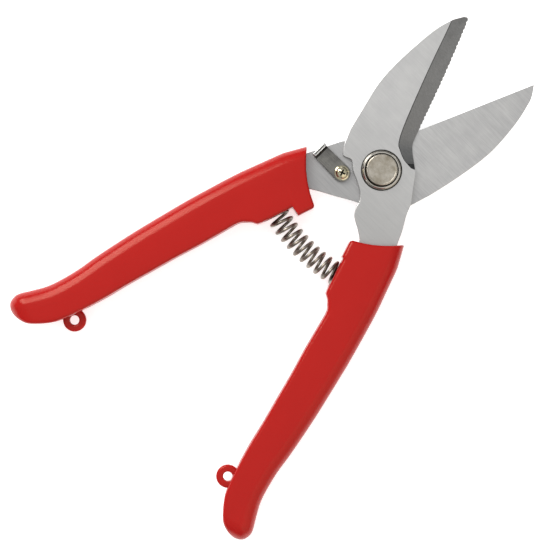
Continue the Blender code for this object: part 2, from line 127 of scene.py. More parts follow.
def rubbedMetal(name, look):
    # Bare metal with fine parallel marks from rolling or grinding, laid across the piece at
    # an angle, over soft cloudy stains that change its tone and gloss a little.
    made, tree, shader = newMaterial(name, look["colour"], 1, look["roughness"])
    where = addNode(tree, "ShaderNodeTexCoord", {}, {})
    laid = addNode(tree, "ShaderNodeMapping", {}, {
        "Vector": where.outputs["Object"], "Rotation": (0, 0, math.radians(look["grainTurn"])),
        "Scale": (1 / look["grainLength"], 1 / look["grainWidth"], 1 / look["grainWidth"])})
    grain = addNode(tree, "ShaderNodeTexNoise", {}, {
        "Vector": laid.outputs["Vector"], "Scale": 1.0, "Detail": 5.0, "Roughness": 0.65})
    cloud = addNode(tree, "ShaderNodeTexNoise", {}, {
        "Vector": where.outputs["Object"], "Scale": 1 / look["cloudSize"], "Detail": 4.0, "Roughness": 0.6})
    stained = addNode(tree, "ShaderNodeMapRange", {}, {
        "Value": cloud.outputs["Fac"], "From Min": 0.3, "From Max": 0.7, "To Min": 0.0, "To Max": 1.0})
    toned = addNode(tree, "ShaderNodeMixRGB", {}, {
        "Fac": stained.outputs["Result"], "Color1": hexToLinear(look["colour"]),
        "Color2": hexToLinear(look["stainColour"])})
    marked = addNode(tree, "ShaderNodeMapRange", {}, {
        "Value": grain.outputs["Fac"], "From Min": 0.3, "From Max": 0.7,
        "To Min": look["grainShade"], "To Max": 0.0})
    shaded = addNode(tree, "ShaderNodeMixRGB", {"blend_type": "MULTIPLY"}, {
        "Fac": marked.outputs["Result"], "Color1": toned.outputs["Color"],
        "Color2": hexToLinear(look["markColour"])})
    gloss = addNode(tree, "ShaderNodeMapRange", {}, {
        "Value": grain.outputs["Fac"], "From Min": 0.3, "From Max": 0.7,
        "To Min": look["roughness"] - 0.05, "To Max": look["roughness"] + 0.06})
    bump = addNode(tree, "ShaderNodeBump", {}, {
        "Height": grain.outputs["Fac"], "Distance": look["grainDepth"], "Strength": 0.6})
    if "tangColour" in look:  # the steel is duller towards the grips
        split = addNode(tree, "ShaderNodeSeparateXYZ", {}, {"Vector": where.outputs["Object"]})
        fade = addNode(tree, "ShaderNodeMapRange", {}, {
            "Value": split.outputs["Y"], "From Min": look["fadeFrom"], "From Max": look["fadeTo"]})
        toned = addNode(tree, "ShaderNodeMixRGB", {}, {
            "Fac": fade.outputs["Result"], "Color1": hexToLinear(look["tangColour"]),
            "Color2": toned.outputs["Color"]})
        tree.links.new(toned.outputs["Color"], shaded.inputs["Color1"])
    tree.links.new(shaded.outputs["Color"], shader.inputs["Base Color"])
    tree.links.new(gloss.outputs["Result"], shader.inputs["Roughness"])
    tree.links.new(bump.outputs["Normal"], shader.inputs["Normal"])
    return made


finishes = {
    # Glossy moulded polypropylene
    "mouldedPolypropylene": dict(colour="#B81918", flowColour="#AE1716", glossTint="#FFD6C2", ior=1.38, roughness=0.2,
                    flowSize=14 * mm, rubSize=9 * mm, peelSize=1.6 * mm, peelDepth=0.01 * mm),
    # Cold-rolled carbon steel, stamped and belt ground. Real grind marks are 0.05 mm apart,
    # so they are drawn four times as coarse to show at all.
    "fineGroundStainlessSteel": dict(colour="#D3D3D2", stainColour="#C9C9C9", markColour="#9A9A9A", roughness=0.36,
                       tangColour="#BEBEBD", fadeFrom=-16 * mm, fadeTo=16 * mm,
                       grainTurn=-35, grainLength=9 * mm, grainWidth=0.28 * mm, grainDepth=0.004 * mm,
                       grainShade=0.16, cloudSize=7 * mm),
    "rolledStainlessSteel": dict(colour="#D2D2D1", stainColour="#C6C6C6", markColour="#8C8C8C", roughness=0.36,
                      tangColour="#B2B2B2", fadeFrom=-16 * mm, fadeTo=16 * mm,
                      grainTurn=12, grainLength=9 * mm, grainWidth=0.3 * mm, grainDepth=0.005 * mm,
                      grainShade=0.26, cloudSize=8 * mm),
    # The same steel where a coarser wheel cut the edge: darker, and the marks run across it
    "wheelGroundStainlessSteel": dict(colour="#A0A1A1", stainColour="#909191", markColour="#606365", roughness=0.42,
                       tangColour="#949595", fadeFrom=16 * mm, fadeTo=46 * mm,
                       grainTurn=14, grainLength=4 * mm, grainWidth=0.25 * mm, grainDepth=0.006 * mm,
                       grainShade=0.3, cloudSize=5 * mm),
    # Painted shade: a dark colour on the grind's steep shoulder, drawing a thin dark line along the grind
    "paintedGrindShoulderShade": dict(colour="#5B5C5D", stainColour="#4B4C4D", markColour="#333435", roughness=0.5,
                             grainTurn=14, grainLength=2 * mm, grainWidth=0.25 * mm, grainDepth=0.003 * mm,
                             grainShade=0.2, cloudSize=3 * mm),
    # Cold-headed steel rivet head, faintly tarnished to a warm tone
    "coldHeadedSteel": dict(colour="#D2CDC3", stainColour="#9E9686", markColour="#857F74", roughness=0.3,
                      grainTurn=30, grainLength=1.6 * mm, grainWidth=0.9 * mm, grainDepth=0.004 * mm,
                      grainShade=0.15, cloudSize=3.6 * mm),
    # Bright nickel-plated washers and nut
    "nickelPlatedSteel": dict(colour="#CFCBC3", stainColour="#B7B3AA", markColour="#8E897E", roughness=0.14,
                         grainTurn=0, grainLength=3 * mm, grainWidth=0.5 * mm, grainDepth=0.002 * mm,
                         grainShade=0.15, cloudSize=4 * mm),
    # Pressed steel strap, chemically darkened
    "blackenedPressedSteel": dict(colour="#96958F", stainColour="#737270", markColour="#4A4A4A", roughness=0.3,
                       grainTurn=5, grainLength=5 * mm, grainWidth=0.35 * mm, grainDepth=0.003 * mm,
                       grainShade=0.3, cloudSize=4 * mm),
    # Zinc plating passivated to a pale yellow
    "yellowZincPlatedSteel": dict(colour="#EEE8D0", stainColour="#CFC6A2", markColour="#8B8267", roughness=0.14,
                      grainTurn=0, grainLength=1.2 * mm, grainWidth=0.5 * mm, grainDepth=0.003 * mm,
                      grainShade=0.3, cloudSize=1.5 * mm),
    # Painted shade: a near-black metal laid where shade falls, in the pivot washer's groove and round its foot, and in
    # the screw's recess
    "paintedShadeInHollows": dict(colour="#35332D", stainColour="#292722", markColour="#1C1B18", roughness=0.45,
                        grainTurn=0, grainLength=1.0 * mm, grainWidth=0.5 * mm, grainDepth=0.003 * mm,
                        grainShade=0.3, cloudSize=1.0 * mm),
    # Painted shade: a near-black colour inside the strap's bend, where the tab's shade and dark reflection fall
    "paintedBendShade": dict(colour="#3E3D3B", stainColour="#2F2E2D", markColour="#1E1E1E", roughness=0.4,
                      grainTurn=5, grainLength=2 * mm, grainWidth=0.35 * mm, grainDepth=0.003 * mm,
                      grainShade=0.3, cloudSize=2 * mm),
    # Sheared edge of the strap: bare steel, brighter than its darkened faces. It also serves as a painted highlight:
    # this bright colour goes on the tab's top rims round a darker middle, to draw two bright lines
    "shearedEdgeAndPaintedHighlight": dict(colour="#E6E6E5", stainColour="#CFCFCE", markColour="#9A9A9A", roughness=0.25,
                        grainTurn=0, grainLength=0.4 * mm, grainWidth=1.2 * mm, grainDepth=0.003 * mm,
                        grainShade=0.3, cloudSize=2 * mm),
    # Oil-hardened spring wire, drawn, with a thin brown oxide
    "oilHardenedSpringWire": dict(colour="#A8A196", stainColour="#7C746A", markColour="#4A433B", roughness=0.3,
                       grainTurn=0, grainLength=1.5 * mm, grainWidth=0.5 * mm, grainDepth=0.003 * mm,
                       grainShade=0.35, cloudSize=3 * mm),
}
metals = {name: rubbedMetal(name, look) for name, look in finishes.items() if name != "mouldedPolypropylene"}
redPlastic = mouldedRed("mouldedPolypropylene", finishes["mouldedPolypropylene"])
print("materials made:", len(metals) + 1)


# Shaping tools

def smoothLine(points, steps):
    # A curve through the points, which may have any number of coordinates
    curve = []
    padded = [points[0], *points, points[-1]]
    for before, start, end, after in zip(padded, padded[1:], padded[2:], padded[3:]):
        lead = (Vector(end) - Vector(before)) / 2
        trail = (Vector(after) - Vector(start)) / 2
        for step in range(steps):
            t = step / steps
            place = (2 * t**3 - 3 * t**2 + 1) * Vector(start) + (t**3 - 2 * t**2 + t) * lead
            place += (3 * t**2 - 2 * t**3) * Vector(end) + (t**3 - t**2) * trail
            curve.append(tuple(place))
    curve.append(tuple(points[-1]))
    return curve


def roundCorners(points, reach, steps=4):
    # Every inner corner of the line is replaced by a short curve that starts and ends reach away
    line = [points[0]]
    for before, corner, after in zip(points, points[1:], points[2:]):
        before, corner, after = Vector(before), Vector(corner), Vector(after)
        near = corner + (before - corner) * min(0.45, reach / (before - corner).length)
        far = corner + (after - corner) * min(0.45, reach / (after - corner).length)
        for step in range(steps + 1):
            t = step / steps
            line.append(tuple((1 - t) ** 2 * near + 2 * t * (1 - t) * corner + t**2 * far))
    line.append(points[-1])
    return line


def evenPoints(curve, spacing):
    # The same curve as points that lie about one spacing apart
    lengths = [0]
    for start, end in zip(curve, curve[1:]):
        lengths.append(lengths[-1] + (Vector(end) - Vector(start)).length)
    count = max(1, round(lengths[-1] / spacing))
    points, i = [], 0
    for k in range(count + 1):
        along = lengths[-1] * k / count
        while i < len(curve) - 2 and lengths[i + 1] < along:
            i += 1
        share = (along - lengths[i]) / (lengths[i + 1] - lengths[i])
        points.append(tuple(Vector(curve[i]).lerp(Vector(curve[i + 1]), share)))
    return points


def acrossAt(points, y):
    # x at height y on a run of (x, y) points whose y falls
    for (xAbove, yAbove), (xBelow, yBelow) in zip(points, points[1:]):
        if y >= yBelow:
            return xAbove + (yAbove - y) / (yAbove - yBelow) * (xBelow - xAbove)
    return points[-1][0]


def startRing(mesh, places):
    ring = [mesh.verts.new(place) for place in places]
    for start, end in zip(ring, ring[1:] + ring[:1]):
        mesh.edges.new((start, end))
    return ring


def extrudeRing(mesh, ring, places):
    # Extrudes a closed ring of edges once, and puts each new vertex in its place
    edges = [mesh.edges.get(pair) for pair in zip(ring, ring[1:] + ring[:1])]
    made = bmesh.ops.extrude_edge_only(mesh, edges=edges)["geom"]
    fresh = {item for item in made if isinstance(item, bmesh.types.BMVert)}
    moved = []
    for vert, place in zip(ring, places):
        partner = next(edge.other_vert(vert) for edge in vert.link_edges if edge.other_vert(vert) in fresh)
        partner.co = place
        moved.append(partner)
    return moved


def sweep(rings):
    # A closed body through rings of equally many places
    mesh = bmesh.new()
    ring = startRing(mesh, rings[0])
    mesh.faces.new(ring)
    for places in rings[1:]:
        ring = extrudeRing(mesh, ring, places)
    mesh.faces.new(ring)
    return mesh


def turned(profile, steps, centre=(0, 0)):
    # A body turned about an upright axis from a closed (radius, height) profile
    mesh = bmesh.new()
    ring = startRing(mesh, [(centre[0] + radius, centre[1], height) for radius, height in profile])
    edges = [mesh.edges.get(pair) for pair in zip(ring, ring[1:] + ring[:1])]
    bmesh.ops.spin(mesh, geom=ring + edges, cent=(*centre, 0), axis=(0, 0, 1), angle=math.tau,
                   steps=steps, use_merge=True)
    return mesh


def cutPlate(outline, low, high, rim, sharp=()):
    # Sheet metal stamped to an outline, its rims eased except along the places that stay sharp
    mesh = bmesh.new()
    face = mesh.faces.new([mesh.verts.new((x, y, low)) for x, y in outline])
    made = bmesh.ops.extrude_face_region(mesh, geom=[face])["geom"]
    raised = [item for item in made if isinstance(item, bmesh.types.BMVert)]
    bmesh.ops.translate(mesh, verts=raised, vec=(0, 0, high - low))
    keen = {(round(x, 7), round(y, 7)) for x, y in sharp}
    if rim:
        level = [edge for edge in mesh.edges if abs(edge.verts[0].co.z - edge.verts[1].co.z) < 1e-7
                 and not any((round(v.co.x, 7), round(v.co.y, 7)) in keen for v in edge.verts)]
        bmesh.ops.bevel(mesh, geom=level, offset=rim, segments=2, profile=0.5, affect="EDGES",
                        material=-1, clamp_overlap=False)
    return mesh


def toObject(name, mesh, materials, sharpAngle=30):
    bmesh.ops.remove_doubles(mesh, verts=mesh.verts, dist=0.0005 * mm)
    bmesh.ops.recalc_face_normals(mesh, faces=mesh.faces)
    data = bpy.data.meshes.new(name)
    mesh.to_mesh(data)
    mesh.free()
    for material in materials:
        data.materials.append(material)
    made = bpy.data.objects.new(name, data)
    bpy.context.scene.collection.objects.link(made)
    shadeByAngle(made, sharpAngle)
    return made


def shadeByAngle(made, angle):
    made.data.shade_smooth()
    made.data.set_sharp_from_angle(angle=math.radians(angle))


def combine(piece, operation, tool):
    # Joins or cuts with another object, which goes. A cut takes the tool's material.
    modifier = piece.modifiers.new("cut", "BOOLEAN")
    modifier.operation = operation
    modifier.solver = "EXACT"
    modifier.material_mode = "TRANSFER"
    modifier.object = tool
    with bpy.context.temp_override(object=piece, active_object=piece, selected_objects=[piece]):
        bpy.ops.object.modifier_apply(modifier=modifier.name)
    bpy.data.objects.remove(tool)


def place(piece, turn, shift=(0, 0, 0)):
    piece.data.transform(Matrix.Translation(shift) @ Matrix.Rotation(turn, 4, "Z"))


def handOver(piece, body, node):
    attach(piece, body)
    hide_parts(node)


def inMm(*points):
    return [(x * mm, y * mm) for x, y in points]


# The shape that levers and grips share, on the side where x is positive
heelY = 5.8 * mm  # where the cutting edges start
bladeReach = 58.7 * mm  # pivot to blade tip
gripReach = 131.5 * mm  # pivot to the end of a grip
nubY = -46.0 * mm
clearance = 0.3 * mm  # between a tang and the slot moulded round it


def bladePoint(x, share):
    return (x * mm, heelY + share * (bladeReach - heelY))


def alongGrip(share):
    return nubY + share * (-gripReach - nubY)


# Edges of a grip from the nub down: x in mm, and the share of the way to the grip's end
innerEdge = smoothLine([((x - 0.1) * mm, alongGrip(share)) for x, share in (
    (4.65, 0.022), (5.6, 0.053), (5.3, 0.13), (4.9, 0.222), (4.7, 0.33), (4.2, 0.45), (3.8, 0.55),
    (3.2, 0.65), (3.0, 0.76), (3.3, 0.842), (3.9, 0.877), (5.3, 0.919), (7.2, 0.96), (9.6, 0.985),
    (12.2, 1.0))], 8)
outerEdge = smoothLine(inMm((18.4, -18.4), (19.4, -23.0), (20.1, -30.0), (20.4, -38.0)) + [
    ((x + 0.1) * mm, alongGrip(share)) for x, share in (
        (20.4, 0.0), (20.0, 0.164), (19.6, 0.246), (18.4, 0.433), (16.8, 0.6), (15.6, 0.69),
        (15.1, 0.772), (15.2, 0.83), (16.2, 0.89), (17.1, 0.935), (17.1, 0.962), (15.9, 0.988),
        (14.0, 1.0))], 8)

tang = dict(
    mouthX=16.6 * mm,  # outer edge where a tang enters its grip
    innerX=7.7 * mm,  # inner edge behind the spring pocket
    cover=4.0 * mm,  # moulding outside its outer edge
    recess=0.8 * mm,  # how far its inner edge lies below the grip's inner face
    tail=0.73,  # where it ends, as a share of the way from the nub to the grip's end
)
spring = dict(
    seatY=-37.8 * mm, coilRadius=4.1 * mm, wireRadius=0.55 * mm, pitch=2.88 * mm,
    openTurns=11.04,  # the evenly spaced turns between the two closed end turns
    endPitch=1.25 * mm, endTurns=1.0, startTurn=6.133,  # startTurn sets which way the middle coil faces
    rise=0.6 * mm,  # room round the coil in its pocket
)
pocketRadius = spring["coilRadius"] + spring["rise"]


def tangOutline(grow=0.0, openSlot=False):
    # From its outer edge round the tail and back up its inner edge
    tailY = alongGrip(tang["tail"])
    line = [(tang["mouthX"] + grow, -27 * mm)]
    for share in (0.02, 0.2, 0.4, 0.6):
        line.append((acrossAt(outerEdge, alongGrip(share)) - tang["cover"] + grow, alongGrip(share)))
    right = acrossAt(outerEdge, tailY) - tang["cover"]
    left = acrossAt(innerEdge, tailY) + tang["recess"]
    line += [(right + grow, tailY + 4 * mm), (right - 3 * mm, tailY - grow), (left + 3 * mm, tailY - grow)]
    if openSlot:
        past = -3 * mm  # beyond the grip's inner face
        line += [(past, tailY - grow), (past, nubY - 4 * mm)]
    else:
        line.append((left + 0.2 * mm - grow, tailY + 2.5 * mm))
        for share in (0.6, 0.4, 0.2, 0.1):
            y = alongGrip(share)
            line.append((acrossAt(innerEdge, y) + tang["recess"] - grow, y))
    step = spring["seatY"] - pocketRadius - 1.6 * mm
    line += [(tang["innerX"] - grow, step - 2.5 * mm), (tang["innerX"] - grow, step)]
    return line


# Levers

leverLook = dict(
    rim=0.16 * mm,  # eased edge of the stamped plate
    land=0.4 * mm,  # flat left at the cutting edge under the grind
    boreRadius=3.3 * mm,
    toothPitch=1.45 * mm, toothDepth=0.38 * mm, teethFrom=19 * mm,
    shoulderRun=0.26 * mm, shoulderDrop=0.34 * mm,
    screwHole=1.8 * mm, screwX=-5.1 * mm, screwY=-12.2 * mm,
)


def grindWedge(stations, face, contact):
    # A long wedge that grinds from the plate's face down to its cutting edge. The wheel leaves a
    # steep little shoulder where the grind starts.
    downwards = math.copysign(1, contact - face)
    rings = []
    for edgeX, grindX, edgeShare, grindShare in smoothLine(stations, 6):
        edge = Vector((*bladePoint(edgeX, edgeShare), contact))
        back = Vector((*bladePoint(grindX, grindShare), face))
        outwards = Vector((edge.x - back.x, edge.y - back.y, 0)).normalized()
        foot = back + outwards * leverLook["shoulderRun"] + Vector((0, 0, downwards * leverLook["shoulderDrop"]))
        high = back + (back - foot)
        low = edge + 0.5 * (edge - foot)
        rings.append([high, foot, low, Vector((low.x, low.y, high.z))])
    made = toObject("wedge", sweep(rings), [metals["wheelGroundStainlessSteel"], metals["paintedGrindShoulderShade"]])
    for face in made.data.polygons:
        # The steep shoulder faces take the painted shade
        if 0.2 < abs(face.normal.z) < 0.8:
            face.material_index = 1
    return made


def frontOutline():
    back = smoothLine([bladePoint(*p) for p in ((-1.9, 0.941), (-6.0, 0.820), (-10.9, 0.595), (-14.1, 0.388),
                                                (-15.1, 0.176), (-15.6, 0.032))], 8)
    notch = roundCorners([back[-1], *inMm((-15.0, 2.0), (-13.6, -1.7), (-10.4, -1.3), (-9.3, -3.0))], 0.9 * mm)[1:-1]
    neck = smoothLine(inMm((-9.3, -3.0), (-8.1, -4.7), (-5.9, -6.6), (-3.0, -9.7), (-1.8, -12.3), (-1.8, -15.0),
                           (-0.9, -17.9), (2.3, -21.4), (4.2, -23.9)), 5)
    hidden = [(5.4 * mm, -28 * mm), (tang["innerX"], spring["seatY"] + pocketRadius + 1.2 * mm)]
    right = smoothLine(inMm((16.1, -20.0), (15.5, -15.0), (14.3, -9.6), (13.8, -5.2), (11.65, 1.3)), 7)
    edge = smoothLine([bladePoint(*p) for p in ((9.7, 0.0), (6.6, 0.081), (5.3, 0.13), (5.0, 0.19), (4.9, 0.3),
                                                (4.3, 0.588), (3.3, 0.862), (2.7, 0.985))], 6)
    toothed = []
    for k, (x, y) in enumerate(evenPoints(edge, leverLook["toothPitch"] / 2)):
        cut = leverLook["toothDepth"] * (0.75 + 0.25 * math.sin(2.1 * k)) if y > leverLook["teethFrom"] and k % 2 else 0
        toothed.append((x - cut, y))
    tip = [bladePoint(2.1, 1.0), bladePoint(0.9, 0.992)]
    soft = back + notch + neck + hidden + tangOutline()[::-1] + right
    return soft + toothed + tip, toothed + tip


def rearOutline():
    back = smoothLine([bladePoint(*p) for p in ((-2.8, 1.0), (0.4, 0.953), (2.5, 0.902), (6.1, 0.786), (10.1, 0.612),
                                                (12.2, 0.465), (13.8, 0.270), (14.7, 0.1))], 7)
    back += smoothLine(inMm((14.9, 3.3), (14.0, -2.0), (11.0, -7.0), (5.5, -12.2), (0.6, -17.6), (-3.0, -21.4),
                            (-5.4, -24.2)), 6)
    hidden = [(-6.0 * mm, -28 * mm), (-tang["innerX"], spring["seatY"] + pocketRadius + 1.2 * mm)]
    left = smoothLine(inMm((-16.4, -20.0), (-15.3, -11.5), (-14.2, -5.6), (-11.65, 1.3)), 8)
    edge = smoothLine([bladePoint(*p) for p in ((-9.7, 0.0), (-8.2, 0.07), (-7.0, 0.136), (-6.3, 0.231))], 7)
    mirrored = [(-x, y) for x, y in tangOutline()[::-1]]
    return back + hidden + mirrored + left + edge, edge + back[:1]


frontStations = [(10.4, 8.4, -0.01, -0.014), (8.2, 5.2, 0.042, 0.011), (6.6, 2.6, 0.081, 0.05),
                 (5.3, 0.7, 0.13, 0.1), (4.9, -0.45, 0.246, 0.246), (4.3, -1.6, 0.588, 0.588),
                 (3.3, -2.1, 0.862, 0.862), (2.6, -2.6, 1.03, 1.03)]
rearStations = [(-10.4, -8.4, -0.01, -0.014), (-8.9, -6.0, 0.042, 0.011), (-8.0, -4.0, 0.081, 0.05),
                (-7.0, -2.4, 0.136, 0.11), (-6.3, -0.9, 0.246, 0.246), (-4.75, 0.8, 0.588, 0.588),
                (-3.5, 2.0, 0.862, 0.862), (-2.75, 2.6, 1.03, 1.03)]


def plug(radius, low, high, centre=(0, 0), steps=64):
    return toObject("plug", turned([(0, low), (radius, low), (radius, high), (0, high)], steps, centre), [])


frontShape, frontKeen = frontOutline()
frontLever = toObject("frontLever", cutPlate(frontShape, frontLow, frontHigh, leverLook["rim"], frontKeen),
                      [metals["fineGroundStainlessSteel"]])
combine(frontLever, "DIFFERENCE", grindWedge(frontStations, frontHigh, frontLow + leverLook["land"]))
combine(frontLever, "DIFFERENCE", plug(leverLook["boreRadius"], 0, gripHigh))
shadeByAngle(frontLever, 13)
place(frontLever, frontTurn)
handOver(frontLever, "front_lever", "front_lever")

rearShape, rearKeen = rearOutline()
rearLever = toObject("rearLever", cutPlate(rearShape, rearLow, rearHigh, leverLook["rim"], rearKeen),
                     [metals["rolledStainlessSteel"]])
combine(rearLever, "DIFFERENCE", grindWedge(rearStations, rearLow, rearHigh - leverLook["land"]))
combine(rearLever, "DIFFERENCE", plug(leverLook["boreRadius"], 0, gripHigh))
combine(rearLever, "DIFFERENCE", plug(leverLook["screwHole"], 0, gripHigh,
                                      (leverLook["screwX"], leverLook["screwY"]), 32))
shadeByAngle(rearLever, 13)
place(rearLever, rearTurn)
handOver(rearLever, "rear_lever", "rear_lever")
print("levers made")


# Grips

gripLook = dict(
    outerRound=4.6 * mm, innerRound=1.2 * mm,
    crown=0.035,  # how much thinner a grip is at its edges than along its middle
    rimRound=0.9 * mm,  # rounding round the front end face
    stopTopY=-25.4 * mm, stopEndY=-31.6 * mm,
    seatX=2.15 * mm,
    cornerSteps=(7, 12), flatSteps=4,
)
loopLook = dict(radius=3.9 * mm, hole=1.55 * mm, thickness=2.4 * mm, share=0.797, round=0.8 * mm)


def gripSection(inner, outer, half, inset, dip):
    # A ring of places across a grip, drawn in by inset, and bent back by dip midway across
    inner, outer = Vector(inner), Vector(outer)
    across = (outer - inner).normalized()
    back = Vector((across.y, -across.x))
    width = (outer - inner).length
    line = []
    for edgeRound, fromInner, start in ((gripLook["innerRound"], True, 180), (gripLook["outerRound"], False, 270),
                                        (gripLook["outerRound"], False, 0), (gripLook["innerRound"], True, 90)):
        reach = max(min(edgeRound, 0.48 * width, 0.98 * half) - inset, 0.02 * mm)
        centreAlong = inset + reach if fromInner else width - inset - reach
        centreUp = (half - inset - reach) * (-1 if start in (180, 270) else 1)
        steps = gripLook["cornerSteps"][0 if fromInner else 1]
        for step in range(steps + 1):
            angle = math.radians(start + 90 * step / steps)
            line.append((centreAlong + reach * math.cos(angle), centreUp + reach * math.sin(angle)))
        if start in (180, 0):  # points along the flat that follows, so that it can be crowned
            (alongEnd, upEnd), flat = line[-1], gripLook["flatSteps"]
            other = width - inset - max(min(gripLook["outerRound"], 0.48 * width, 0.98 * half) - inset, 0.02 * mm)
            first = inset + max(min(gripLook["innerRound"], 0.48 * width, 0.98 * half) - inset, 0.02 * mm)
            target = other if start == 180 else first
            line += [(alongEnd + (target - alongEnd) * k / flat, upEnd) for k in range(1, flat)]
    ring = []
    for along, up in line:
        share = along / width
        up *= 1 - gripLook["crown"] * (2 * share - 1) ** 2
        flatPlace = inner + across * along + back * (dip * 4 * share * (1 - share))
        ring.append(Vector((flatPlace.x, flatPlace.y, middle + up)))
    return ring


def gripRings(stopX, dip):
    half = gripHigh / 2
    seatEnd = spring["seatY"] - pocketRadius - 0.7 * mm
    slant = gripLook["stopTopY"] - outerEdge[0][1]
    upper = roundCorners([(stopX, gripLook["stopTopY"]), (stopX, gripLook["stopEndY"]),
                          (gripLook["seatX"], gripLook["stopEndY"] - 0.5 * mm), (gripLook["seatX"], seatEnd),
                          (gripLook["seatX"] + 0.2 * mm, nubY + 1.0 * mm), (3.7 * mm, nubY - 0.4 * mm),
                          innerEdge[0]], 0.3 * mm, 4)
    rings = []
    faceInner, faceOuter = upper[0], outerEdge[0]
    flatCap = gripSection(faceInner, faceOuter, half, gripLook["rimRound"], dip)
    rings.append([Vector((p.x, p.y, middle)) for p in flatCap])  # the end face closes along its middle line
    backward = Vector((0, -1, 0))
    for step in range(6):
        angle = math.pi / 2 * step / 5
        inset = gripLook["rimRound"] * (1 - math.sin(angle))
        lag = gripLook["rimRound"] * (1 - math.cos(angle))
        rings.append([p + backward * lag for p in gripSection(faceInner, faceOuter, half, inset, dip)])
    firstY = faceInner[1] - gripLook["rimRound"]
    stops = [(x, y) for x, y in upper if y < firstY - 0.3 * mm]
    for x, y in stops:
        lean = slant * (y - nubY) / (gripLook["stopTopY"] - nubY)
        outerY = min(y - lean, outerEdge[0][1] - gripLook["rimRound"] - 0.3 * mm)
        fade = max(0.0, (y - seatEnd) / (gripLook["stopTopY"] - seatEnd))
        rings.append(gripSection((x, y), (acrossAt(outerEdge, outerY), outerY), half, 0, dip * fade**2))
    for x, y in innerEdge[1:-1]:
        share = (y - nubY) / (-gripReach - nubY)
        full = math.sqrt(max(0.0, 1 - max(0.0, (share - 0.93) / 0.0716) ** 2))
        rings.append(gripSection((x, y), (acrossAt(outerEdge, y), y), half * full, 0, 0))
    return rings


def makeGrip(name, side, stopX, dip, plateLow, plateHigh, loopX, loopLow, body, node, turn):
    grip = toObject(name, sweep(gripRings(stopX, dip)), [redPlastic])
    centre = (loopX, alongGrip(loopLook["share"]))
    low, high, easing = loopLow, loopLow + loopLook["thickness"], loopLook["round"]
    arc = [(loopLook["radius"] - easing * (1 - math.cos(a)), easing * (1 - math.sin(a)))
           for a in (math.pi / 2 * k / 5 for k in range(6))]
    hole, flare = loopLook["hole"], 0.5 * mm
    profile = [*[(r, low + z) for r, z in arc[::-1]], *[(r, high - z) for r, z in arc],
               (hole + flare, high), (hole + 0.3 * flare, high - 0.3 * flare), (hole, high - flare),
               (hole, low + flare), (hole + 0.3 * flare, low + 0.3 * flare), (hole + flare, low)]
    combine(grip, "UNION", toObject("eye", turned(profile, 56, centre), [redPlastic]))

    mouth = [(tang["mouthX"] + clearance, -14 * mm), (3.9 * mm - clearance, -14 * mm),
             (4.2 * mm - clearance, -24 * mm), (5.4 * mm - clearance, -28 * mm),
             (tang["innerX"] - clearance, spring["seatY"] + pocketRadius + 1.2 * mm)]
    slotShape = mouth + tangOutline(clearance, True)[::-1]
    slot = toObject("slot", cutPlate(slotShape, plateLow - clearance, plateHigh + clearance, 0), [redPlastic])
    combine(grip, "DIFFERENCE", slot)

    # The pocket's mouth flares where the moulding core was eased
    seat = gripLook["seatX"]
    bore = [(-4 * mm, 1.2 * mm), (seat - 0.05 * mm, 0.42 * mm), (seat + 0.12 * mm, 0.2 * mm),
            (seat + 0.4 * mm, 0.04 * mm), (seat + 0.7 * mm, 0), (tang["innerX"] - 0.1 * mm, 0)]
    rings = [[(x, spring["seatY"] + (pocketRadius + more) * math.cos(math.tau * k / 56),
               middle + (pocketRadius + more) * math.sin(math.tau * k / 56)) for k in range(56)]
             for x, more in bore]
    combine(grip, "DIFFERENCE", toObject("pocket", sweep(rings), [redPlastic]))
    if side < 0:
        grip.data.transform(Matrix.Scale(-1, 4, (1, 0, 0)))
        grip.data.flip_normals()
    shadeByAngle(grip, 32)
    place(grip, turn)
    handOver(grip, body, node)
    return grip


frontGrip = makeGrip("frontGrip", 1, 1.5 * mm, 1.1 * mm, frontLow, frontHigh, 1.5 * mm, middle + 0.15 * mm,
                     "front_lever", "front_grip", frontTurn)
rearGrip = makeGrip("rearGrip", -1, -1.2 * mm, 1.5 * mm, rearLow, rearHigh, 1.2 * mm,
                    middle - 0.15 * mm - loopLook["thickness"], "rear_lever", "rear_grip", rearTurn)
print("grips made")


# Pivot

pivotLook = dict(
    shank=3.0 * mm, head=5.2 * mm, headRim=0.35 * mm,
    crestRadius=5.85 * mm, dishRadius=6.85 * mm,
    nutAcross=9.0 * mm, nutChamfer=0.5 * mm,
)
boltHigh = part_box("pivot_bolt")[1].z
dishLow, dishHigh = (corner.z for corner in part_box("pivot_front_washer"))
backLow, backHigh = (corner.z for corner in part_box("pivot_back_washer"))
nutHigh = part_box("pivot_nut")[1].z
headLow = dishHigh + clearance


def easedCorner(radius, height, reach, outward, upward, steps=5):
    # Points round a rounded corner at (radius, height), from its side to its flat
    points = []
    for step in range(steps + 1):
        angle = math.pi / 2 * step / steps
        points.append((radius - outward * reach * (1 - math.cos(angle)),
                       height - upward * reach * (1 - math.sin(angle))))
    return points


